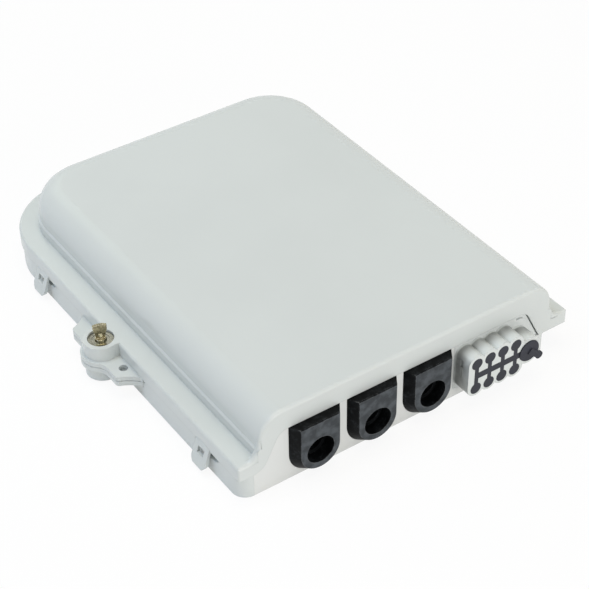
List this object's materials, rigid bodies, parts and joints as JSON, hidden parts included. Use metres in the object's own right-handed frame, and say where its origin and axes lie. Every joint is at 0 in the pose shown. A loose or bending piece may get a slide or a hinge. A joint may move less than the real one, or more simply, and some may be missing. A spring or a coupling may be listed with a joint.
{
  "type": "fiber termination box",
  "caption": "Flat wall box for optical fibre with a hinged, locked cover, round cable grommets, a drop-cable port block, a splice tray and a row of adapters inside.",
  "frame": {"origin": "On the back face, midway across the cover and midway along it.", "axes": "+Z from the wall out through the cover, +X from the lock side to the hinge side, +Y from the cable-entry end to the rounded end."},
  "size_m": [0.1957, 0.2377, 0.0416],
  "materials": {
    "shell_plastic": "satin moulded, light grey",
    "inner_plastic": "moulded, light grey",
    "tray_plastic": "moulded, off-white",
    "cap_plastic": "moulded, white",
    "adapter_plastic": "moulded, green",
    "grommet_rubber": "smooth, black",
    "seal_rubber": "smooth, dark grey",
    "gasket_rubber": "foam, dark grey",
    "comb_rubber": "soft, dark grey",
    "lock_chrome": "plated, bright",
    "screw_steel": "zinc plated",
    "post_brass": "turned"
  },
  "bodies": {
    "base": {"base_shell": "shell_plastic", "cable_wall": "shell_plastic", "base_ear": "shell_plastic", "floor_fittings": "shell_plastic", "hinge_pins": "screw_steel", "grommet_left": "grommet_rubber", "grommet_middle": "grommet_rubber", "grommet_right": "grommet_rubber", "drop_port_block": "shell_plastic", "drop_port_seal": "seal_rubber", "cable_clamp_left": "inner_plastic", "cable_clamp_middle": "inner_plastic", "cable_clamp_right": "inner_plastic", "clamp_screws": "screw_steel", "strength_posts": "post_brass", "strength_screws": "screw_steel", "drop_cable_comb": "inner_plastic", "comb_screws": "screw_steel", "adapter_bracket": "inner_plastic", "adapter_screws": "screw_steel", "bracket_screws": "screw_steel", "front_dust_caps": "cap_plastic", "rear_dust_caps": "cap_plastic", "splice_tray": "tray_plastic", "splice_comb_left": "comb_rubber", "splice_comb_right": "comb_rubber", "tray_screws": "screw_steel", "adapter_1": "adapter_plastic", "adapter_2": "adapter_plastic", "adapter_3": "adapter_plastic", "adapter_4": "adapter_plastic", "adapter_5": "adapter_plastic", "adapter_6": "adapter_plastic", "adapter_7": "adapter_plastic", "adapter_8": "adapter_plastic"},
    "cover": {"cover_shell": "shell_plastic", "cover_gasket": "gasket_rubber", "lock_barrel": "lock_chrome", "lock_nut": "screw_steel"},
    "lock_rotor": {"lock_rotor": "lock_chrome", "lock_cam": "screw_steel", "cam_screw": "screw_steel"},
    "key": {"key": "lock_chrome"}
  },
  "joints": [
    {"name": "cover_hinge", "type": "hinge", "parent": "base", "child": "cover", "pos_m": [0.0855, 0, 0.011], "axis": [0, 1, 0], "range_deg": [0, 120]},
    {"name": "lock_turn", "type": "hinge", "parent": "cover", "child": "lock_rotor", "pos_m": [-0.0952, -0.006, 0.0188], "axis": [0, 0, 1], "range_deg": [0, 90]},
    {"name": "key_pull", "type": "slide", "parent": "lock_rotor", "child": "key", "axis": [0, 0, 1], "range_m": [0, 0.025]}
  ]
}
